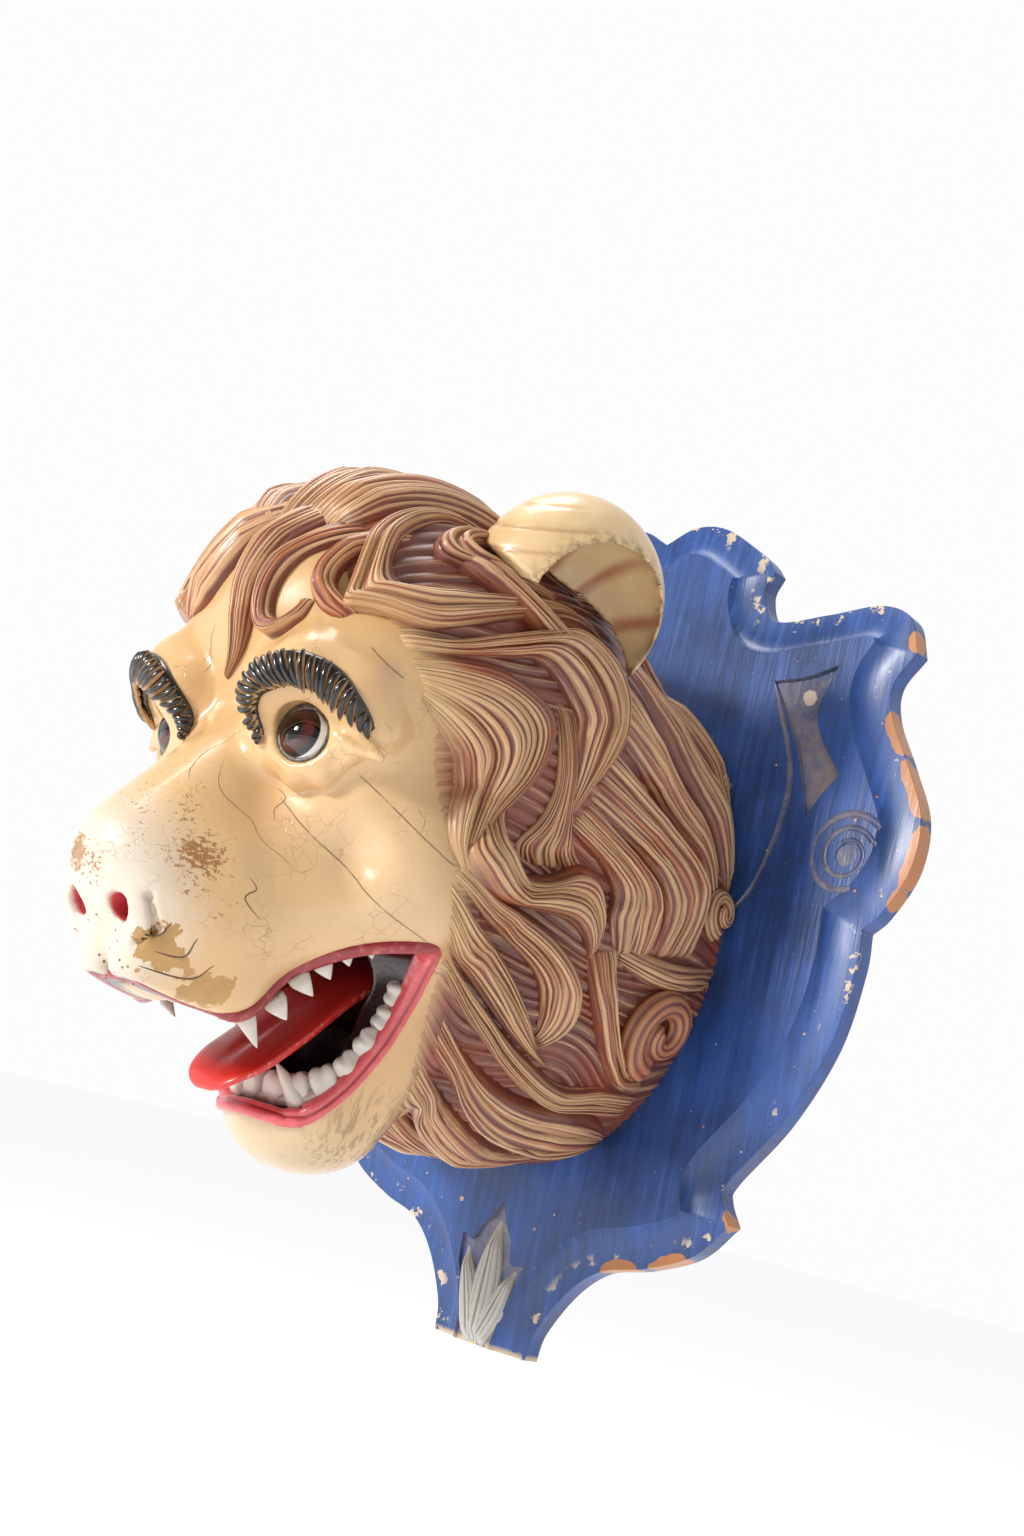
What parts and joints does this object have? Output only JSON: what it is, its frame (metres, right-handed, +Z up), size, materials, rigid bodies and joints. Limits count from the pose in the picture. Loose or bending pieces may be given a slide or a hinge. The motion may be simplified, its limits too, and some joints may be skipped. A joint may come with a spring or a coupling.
{
  "type": "lion wall mask",
  "caption": "Carved and painted lion's head with an open mouth and a flowing mane, on a shaped blue wall board.",
  "frame": {"origin": "on the flat back of the board, on its centre line, 450 mm above its lowest edge, where it hangs on the wall", "axes": "+Z up, +Y out of the board's back into the wall, the lion looks along -Y, its left side is +X"},
  "size_m": [0.548, 0.4612, 0.6505],
  "materials": {
    "board_paint": "brushed blue oil paint on a wooden board",
    "head_paint": "cream oil paint under old varnish on carved wood",
    "tooth_paint": "greyed white paint",
    "tongue_paint": "glossy red oil paint",
    "eye_glass": "dark polished glass"
  },
  "bodies": {
    "root": {"shield_board": "board_paint", "lion_head": "head_paint", "ear_left": "head_paint", "ear_right": "head_paint", "eye_left": "eye_glass", "eye_right": "eye_glass", "lower_teeth": "tooth_paint", "tongue": "tongue_paint", "upper_tooth_1_left": "tooth_paint", "upper_tooth_2_left": "tooth_paint", "upper_tooth_3_left": "tooth_paint", "upper_tooth_4_left": "tooth_paint", "upper_tooth_5_left": "tooth_paint", "upper_tooth_6_left": "tooth_paint", "upper_tooth_1_right": "tooth_paint", "upper_tooth_2_right": "tooth_paint", "upper_tooth_3_right": "tooth_paint", "upper_tooth_4_right": "tooth_paint", "upper_tooth_5_right": "tooth_paint", "upper_tooth_6_right": "tooth_paint"}
  },
  "joints": []
}
